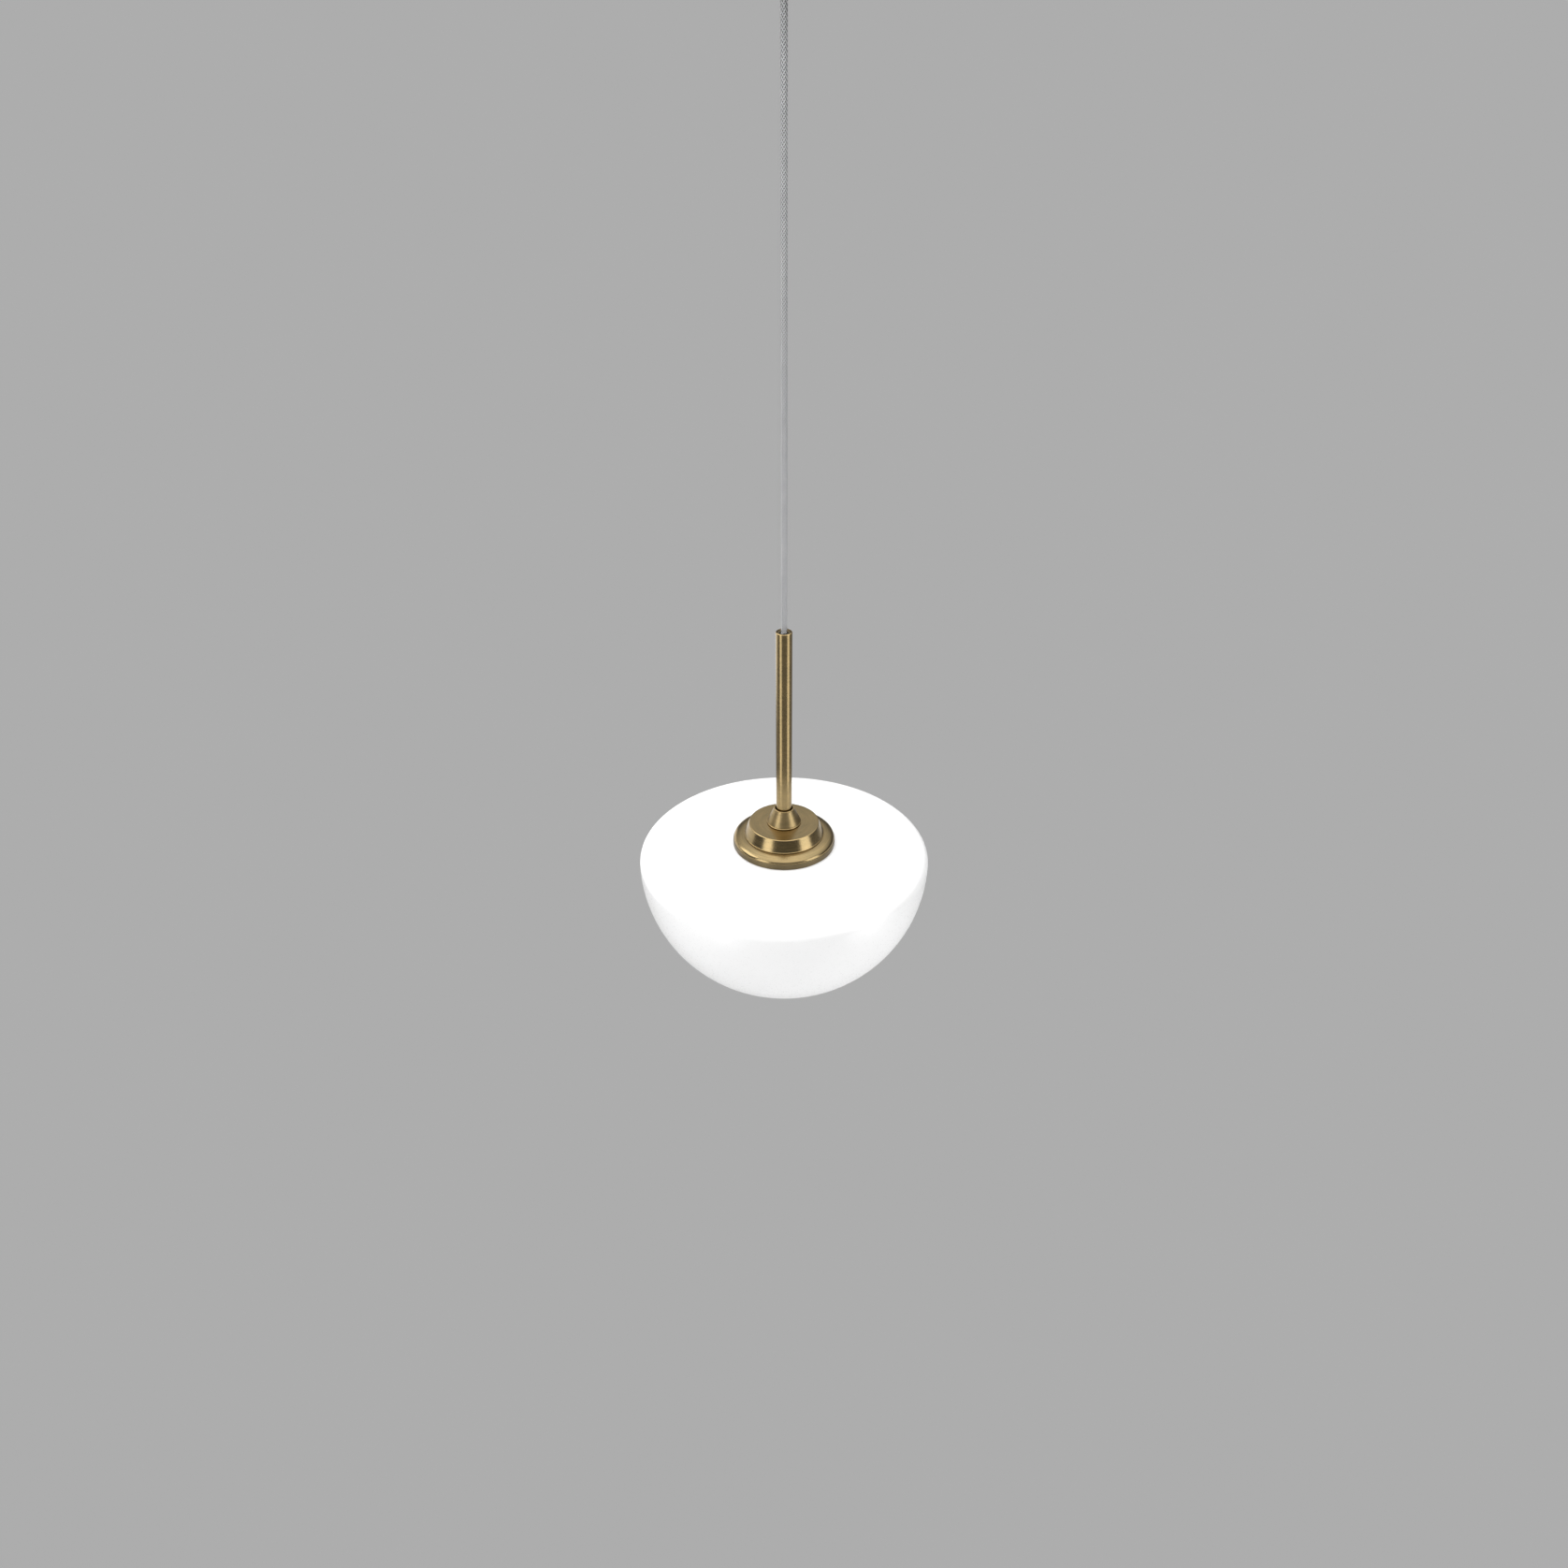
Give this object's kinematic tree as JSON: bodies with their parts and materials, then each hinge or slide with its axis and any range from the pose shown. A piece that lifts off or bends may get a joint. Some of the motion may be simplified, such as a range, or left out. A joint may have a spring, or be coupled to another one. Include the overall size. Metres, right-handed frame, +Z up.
{
  "type": "pendant ceiling light",
  "caption": "Pendant ceiling light: an opal glass bowl under a stepped brass fitter and slim stem, hung from a braided cord and a round ceiling canopy.",
  "frame": {"origin": "centre of the ceiling bracket's top face, in the plane of the ceiling", "axes": "+Z up, along the cord and the stem; +X along the ceiling bracket"},
  "size_m": [0.3, 0.3, 0.9737],
  "materials": {
    "aged_brass": "antique brushed brass, lacquered",
    "plain_brass": "turned, unpolished",
    "zinc_steel": "zinc plated",
    "nickel": "nickel plated",
    "braid": "silver-grey braided jacket",
    "opal_glass": "white opal, smooth gloss",
    "porcelain": "glazed",
    "white_plastic": "moulded",
    "black_plastic": "moulded",
    "silicone": "soft, pale",
    "brown_core": "insulation",
    "blue_core": "insulation",
    "green_core": "insulation"
  },
  "bodies": {
    "ceiling_fitting": {"canopy": "aged_brass", "canopy_screw_left": "aged_brass", "canopy_screw_right": "aged_brass", "ceiling_bracket": "zinc_steel", "cord_grip_body": "aged_brass", "cord_grip_nut": "plain_brass", "cord_grip_screw": "zinc_steel", "cord_grip_washer": "zinc_steel", "cord_top_end": "braid", "feed_wire_earth": "green_core", "feed_wire_live": "brown_core", "feed_wire_neutral": "blue_core", "terminal_block": "white_plastic", "terminal_screw_earth": "zinc_steel", "terminal_screw_live": "zinc_steel", "terminal_screw_neutral": "zinc_steel"},
    "cord": {"cord": "braid"},
    "stem": {"carrier_nut": "plain_brass", "carrier_washer": "zinc_steel", "centre_contact": "plain_brass", "claw_carrier": "zinc_steel", "claw_pin_1": "nickel", "claw_pin_2": "nickel", "claw_pin_3": "nickel", "claw_spring_1": "nickel", "claw_spring_2": "nickel", "claw_spring_3": "nickel", "cord_bottom_end": "braid", "cord_crimp": "plain_brass", "core_wire_earth": "green_core", "core_wire_live": "brown_core", "core_wire_neutral": "blue_core", "lampholder_cap": "black_plastic", "lampholder_core": "porcelain", "lampholder_skirt": "black_plastic", "lampholder_thread_shell": "nickel", "side_contact": "plain_brass", "stem_end_bush": "aged_brass", "stem_insert": "plain_brass", "stem_tube": "aged_brass", "threaded_nipple": "plain_brass"},
    "cover": {"cover_cone": "aged_brass", "cover_step": "aged_brass", "cover_flange": "aged_brass", "cover_felt_ring": "silicone"},
    "claw_1": {"claw_1": "zinc_steel", "claw_pad_1": "silicone"},
    "claw_2": {"claw_2": "zinc_steel", "claw_pad_2": "silicone"},
    "claw_3": {"claw_3": "zinc_steel", "claw_pad_3": "silicone"},
    "shade": {"glass_shade": "opal_glass"},
    "bulb": {"bulb_tip_contact": "nickel", "bulb_insulator": "black_plastic", "bulb_base_shell": "nickel", "bulb_collar": "white_plastic", "led_board": "white_plastic", "bulb_globe": "opal_glass"}
  },
  "joints": [
    {"name": "cord_swing", "type": "hinge", "parent": "ceiling_fitting", "child": "cord", "pos_m": [0, 0, -0.047], "axis": [0, 1, 0], "range_deg": [-20, 20]},
    {"name": "stem_tilt", "type": "hinge", "parent": "cord", "child": "stem", "pos_m": [0, 0, -0.5752], "axis": [1, 0, 0], "range_deg": [-18, 18]},
    {"name": "cover_slide", "type": "slide", "parent": "stem", "child": "cover", "axis": [0, 0, 1], "range_m": [0, 0.19]},
    {"name": "claw_1_fold", "type": "hinge", "parent": "stem", "child": "claw_1", "pos_m": [0, 0.037, -0.8095], "axis": [-1, 0, 0], "range_deg": [0, 55], "stiffness_Nm_per_rad": 0.02, "springref_deg": -34.38},
    {"name": "claw_2_fold", "type": "hinge", "parent": "stem", "child": "claw_2", "pos_m": [-0.03204, -0.0185, -0.8095], "axis": [0.5, -0.866, 0], "range_deg": [0, 55], "stiffness_Nm_per_rad": 0.02, "springref_deg": -34.38},
    {"name": "claw_3_fold", "type": "hinge", "parent": "stem", "child": "claw_3", "pos_m": [0.03204, -0.0185, -0.8095], "axis": [0.5, 0.866, 0], "range_deg": [0, 55], "stiffness_Nm_per_rad": 0.02, "springref_deg": -34.38},
    {"name": "shade_drop", "type": "slide", "parent": "stem", "child": "shade", "axis": [0, 0, -1], "range_m": [0, 0.2]},
    {"name": "bulb_out", "type": "slide", "parent": "stem", "child": "bulb", "axis": [0, 0, -1], "range_m": [0, 0.02]}
  ]
}
